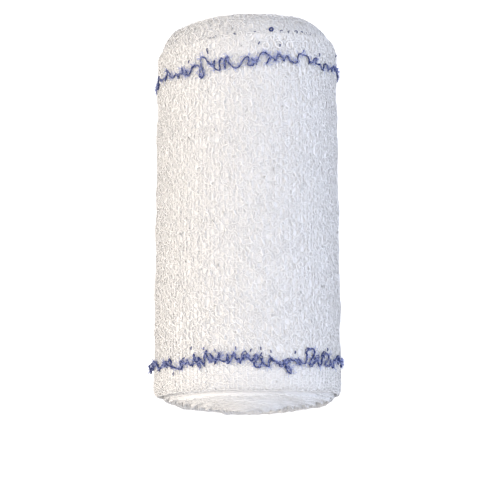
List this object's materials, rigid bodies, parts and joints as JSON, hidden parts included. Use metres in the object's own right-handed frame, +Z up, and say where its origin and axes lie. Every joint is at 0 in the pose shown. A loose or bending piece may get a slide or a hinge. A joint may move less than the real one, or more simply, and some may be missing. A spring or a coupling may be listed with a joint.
{
  "type": "crepe bandage roll",
  "caption": "Roll of stretchy white crepe bandage lying on its side, with a curly blue marker thread near both selvedges.",
  "frame": {"origin": "on the surface that the roll lies on, under the middle of its bounding box", "axes": "+Z up; the roll's axis lies along Y, with the end whose edge curls in at -Y and the end whose turns stand out in a round shoulder at +Y; +X to the right as seen from -Y"},
  "size_m": [0.0538, 0.11, 0.0513],
  "materials": {
    "crepe_cloth": "undyed white cotton crepe, matt, crinkled and slightly fuzzy",
    "marker_thread": "matt dark blue cotton yarn, curly and slightly fuzzy"
  },
  "bodies": {
    "root": {"bandage_roll": "crepe_cloth", "marker_thread_near": "marker_thread", "marker_thread_far": "marker_thread"}
  },
  "joints": []
}
